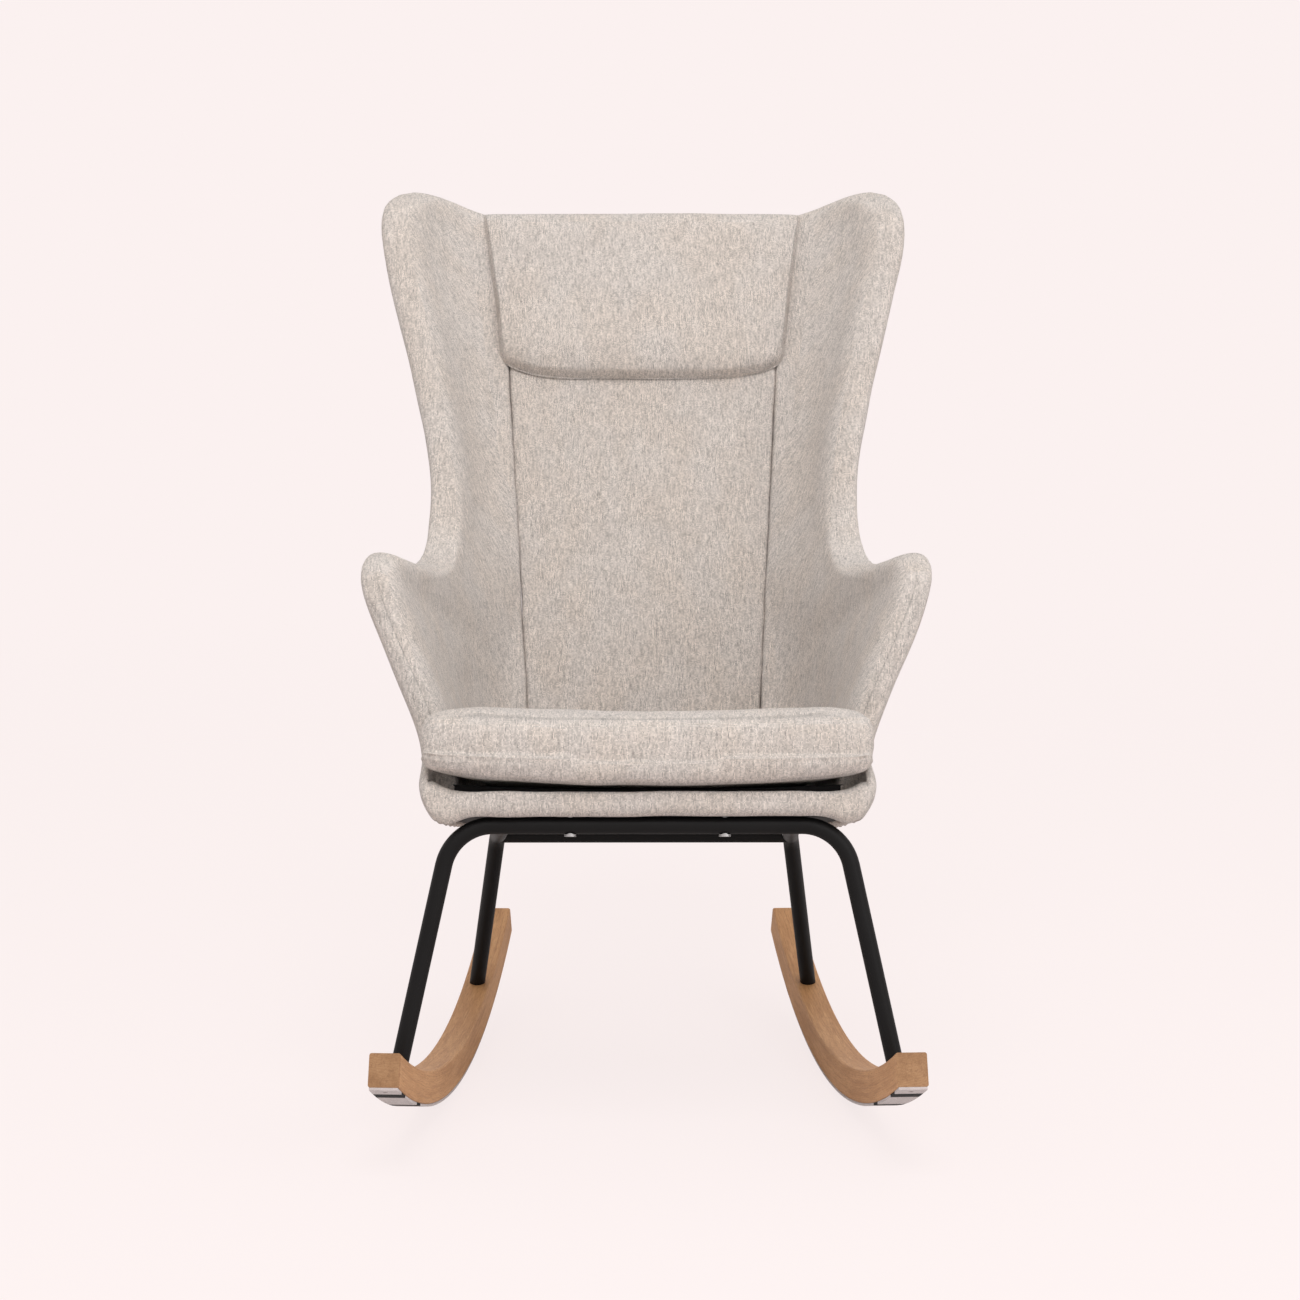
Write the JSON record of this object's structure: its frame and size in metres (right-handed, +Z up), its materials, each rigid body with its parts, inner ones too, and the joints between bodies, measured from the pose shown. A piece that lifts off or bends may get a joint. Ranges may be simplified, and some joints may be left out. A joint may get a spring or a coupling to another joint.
{
  "type": "rocking chair",
  "caption": "High-backed upholstered rocking chair with swept wings and arms, a loose seat cushion and a sewn-on headrest, on a bent steel tube frame with curved wooden runners.",
  "frame": {"origin": "on the floor, under the middle of the chair's outline", "axes": "+Z up, -Y to the chair's front, +X across, to the left of someone who sits in it"},
  "size_m": [0.643, 0.9133, 1.034],
  "materials": {
    "tube_paint": "matte",
    "oak": "satin",
    "zinc": "satin",
    "felt": "matte",
    "grip_rubber": "matte",
    "plywood": "matte",
    "dust_cloth": "matte",
    "woven": "matte",
    "plug_steel": "satin"
  },
  "bodies": {
    "chair": {"front_leg_frame": "tube_paint", "rear_leg_left": "tube_paint", "rear_leg_right": "tube_paint", "rear_cross_bar": "tube_paint", "rear_mount_tabs": "tube_paint", "leg_end_plugs": "plug_steel", "runner_left": "oak", "runner_right": "oak", "runner_bolts": "zinc", "runner_felt_left": "felt", "runner_felt_right": "felt", "grip_bars_left": "grip_rubber", "grip_bars_right": "grip_rubber", "felt_tacks": "zinc", "seat_board": "plywood", "tee_nuts": "zinc", "front_seat_bolts": "zinc", "rear_seat_bolts": "zinc", "dust_cover": "dust_cloth", "deck_pad": "dust_cloth", "front_border": "woven", "outer_side_left": "woven", "outer_side_right": "woven", "outer_back": "woven", "inner_side_left": "woven", "inner_side_right": "woven", "inner_back": "woven", "headrest_pillow": "woven"},
    "cushion": {"seat_cushion": "woven"}
  },
  "joints": [
    {"name": "cushion_lift", "type": "slide", "parent": "chair", "child": "cushion", "axis": [0, -0.5, 0.866], "range_m": [0, 0.45]}
  ]
}
